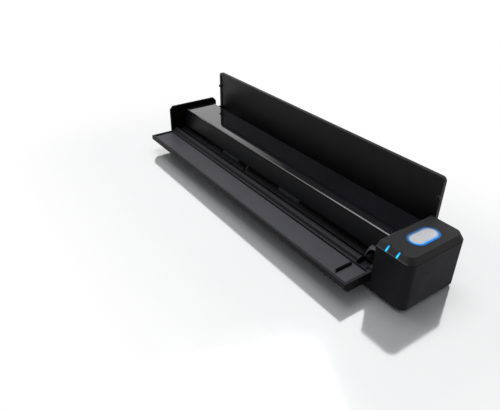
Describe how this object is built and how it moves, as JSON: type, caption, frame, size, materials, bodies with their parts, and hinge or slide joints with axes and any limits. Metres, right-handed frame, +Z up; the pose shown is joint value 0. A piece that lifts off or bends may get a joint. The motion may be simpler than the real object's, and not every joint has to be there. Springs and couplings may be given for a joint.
{
  "type": "portable document scanner",
  "caption": "Slim bar-shaped sheet-fed document scanner with a control box at one end, hinged top cover, fold-out feed guide in front and fold-up output guide at the rear.",
  "frame": {"origin": "on the table plane under the rubber feet, below the middle of the bounding box of the scanner as it stands open", "axes": "+X along the body towards the end with the scan button, +Z up, -Y towards the side where sheets are fed in"},
  "size_m": [0.273, 0.075, 0.0591],
  "materials": {
    "case_black": "satin moulded plastic",
    "housing_black": "satin moulded plastic",
    "bezel_grey": "finely grained plastic",
    "cover_gloss": "polished",
    "guide_grey": "satin moulded plastic",
    "button_silver": "satin silver",
    "ring_blue": "lit light guide",
    "light_blue": "lit light guide",
    "foot_rubber": "matt",
    "roller_rubber": "ground matt",
    "steel": "plated",
    "acetal": "natural",
    "board_green": "solder resist",
    "battery_foil": "wrapped foil pouch",
    "platen_white": "matt white",
    "scan_glass": "polished"
  },
  "bodies": {
    "base": {"lower_case": "case_black", "feed_bed": "case_black", "left_end_cap": "case_black", "right_housing": "housing_black", "control_bezel": "bezel_grey", "button_light_ring": "ring_blue", "status_light_1": "light_blue", "status_light_2": "light_blue", "rubber_foot_1": "foot_rubber", "rubber_foot_2": "foot_rubber", "rubber_foot_3": "foot_rubber", "rubber_foot_4": "foot_rubber", "case_screw_1": "steel", "case_screw_2": "steel", "motor_plate": "steel", "motor": "steel", "usb_inlet": "steel", "feed_guide_pin_left": "steel", "feed_guide_pin_right": "steel", "cover_pin_left": "steel", "cover_pin_right": "steel", "feed_bush_left": "acetal", "feed_bush_right": "acetal", "eject_bush_left": "acetal", "eject_bush_right": "acetal", "control_board": "board_green", "main_board": "board_green", "io_board": "board_green", "battery_pack": "battery_foil", "white_platen": "platen_white"},
    "top_cover": {"top_cover": "case_black", "cover_plate": "cover_gloss", "sensor_bar": "case_black", "sensor_glass": "scan_glass", "output_guide_pin_left": "steel", "output_guide_pin_right": "steel"},
    "output_guide": {"output_guide": "case_black"},
    "feed_guide": {"feed_guide_shell": "guide_grey", "feed_guide_panel": "guide_grey"},
    "feed_roller": {"feed_shaft": "steel", "feed_roller_left": "roller_rubber", "feed_roller_right": "roller_rubber", "feed_gear": "acetal"},
    "eject_roller": {"eject_shaft": "steel", "eject_roller_left": "roller_rubber", "eject_roller_right": "roller_rubber", "eject_gear": "acetal"},
    "idler_gear": {"idler_gear": "acetal"},
    "reduction_gear": {"reduction_gear": "acetal"},
    "motor_pinion": {"motor_pinion": "steel"},
    "pinch_front": {"pinch_shaft_front": "steel", "pinch_roller_front_left": "roller_rubber", "pinch_roller_front_right": "roller_rubber"},
    "pinch_rear": {"pinch_shaft_rear": "steel", "pinch_roller_rear_left": "roller_rubber", "pinch_roller_rear_right": "roller_rubber"},
    "sheet_sensor": {"sheet_sensor_lever": "case_black"},
    "scan_button": {"scan_button": "button_silver"},
    "rear_key": {"rear_key": "case_black"},
    "wifi_switch": {"wifi_switch": "case_black"}
  },
  "joints": [
    {"name": "top_cover_hinge", "type": "hinge", "parent": "base", "child": "top_cover", "pos_m": [0, 0.02583, 0.0093], "axis": [-1, 0, 0], "range_deg": [0, 45]},
    {"name": "output_guide_hinge", "type": "hinge", "parent": "top_cover", "child": "output_guide", "pos_m": [0, 0.02498, 0.02345], "axis": [1, 0, 0], "range_deg": [0, 90]},
    {"name": "feed_guide_hinge", "type": "hinge", "parent": "base", "child": "feed_guide", "pos_m": [0, -0.01323, 0.0117], "axis": [-1, 0, 0], "range_deg": [0, 90]},
    {"name": "feed_roller_spin", "type": "hinge", "parent": "base", "child": "feed_roller", "pos_m": [0, 0.00052, 0.0115], "axis": [1, 0, 0], "continuous": true},
    {"name": "eject_roller_spin", "type": "hinge", "parent": "base", "child": "eject_roller", "pos_m": [0, 0.02152, 0.0115], "axis": [1, 0, 0], "continuous": true},
    {"name": "idler_gear_spin", "type": "hinge", "parent": "base", "child": "idler_gear", "pos_m": [0, 0.01153, 0.0115], "axis": [1, 0, 0], "continuous": true},
    {"name": "reduction_gear_spin", "type": "hinge", "parent": "base", "child": "reduction_gear", "pos_m": [0, 0.00052, 0.0205], "axis": [1, 0, 0], "continuous": true},
    {"name": "motor_pinion_spin", "type": "hinge", "parent": "base", "child": "motor_pinion", "pos_m": [0, 0.01052, 0.0205], "axis": [1, 0, 0], "continuous": true},
    {"name": "pinch_front_spin", "type": "hinge", "parent": "top_cover", "child": "pinch_front", "pos_m": [0, 0.00052, 0.0193], "axis": [1, 0, 0], "continuous": true},
    {"name": "pinch_rear_spin", "type": "hinge", "parent": "top_cover", "child": "pinch_rear", "pos_m": [0, 0.02152, 0.0193], "axis": [1, 0, 0], "continuous": true},
    {"name": "sheet_sensor_hinge", "type": "hinge", "parent": "base", "child": "sheet_sensor", "pos_m": [-0.032, -0.00598, 0.0115], "axis": [-1, 0, 0], "range_deg": [0, 32], "stiffness_Nm_per_rad": 0.0002, "springref_deg": -17.19},
    {"name": "scan_button_press", "type": "slide", "parent": "base", "child": "scan_button", "axis": [0, 0, -1], "range_m": [0, 0.0008], "stiffness_N_per_m": 300, "springref_m": -0.001},
    {"name": "rear_key_press", "type": "slide", "parent": "base", "child": "rear_key", "axis": [0, -1, 0], "range_m": [0, 0.0008], "stiffness_N_per_m": 300, "springref_m": -0.001},
    {"name": "wifi_switch_slide", "type": "slide", "parent": "base", "child": "wifi_switch", "axis": [1, 0, 0], "range_m": [0, 0.0018]}
  ],
  "couplings": [
    {"joint": "eject_roller_spin", "follows": "feed_roller_spin", "ratio": 1.2},
    {"joint": "idler_gear_spin", "follows": "feed_roller_spin", "ratio": -1.2},
    {"joint": "reduction_gear_spin", "follows": "feed_roller_spin", "ratio": -2},
    {"joint": "motor_pinion_spin", "follows": "feed_roller_spin", "ratio": 4.6667},
    {"joint": "pinch_front_spin", "follows": "feed_roller_spin", "ratio": -1.5},
    {"joint": "pinch_rear_spin", "follows": "feed_roller_spin", "ratio": -1.52}
  ]
}
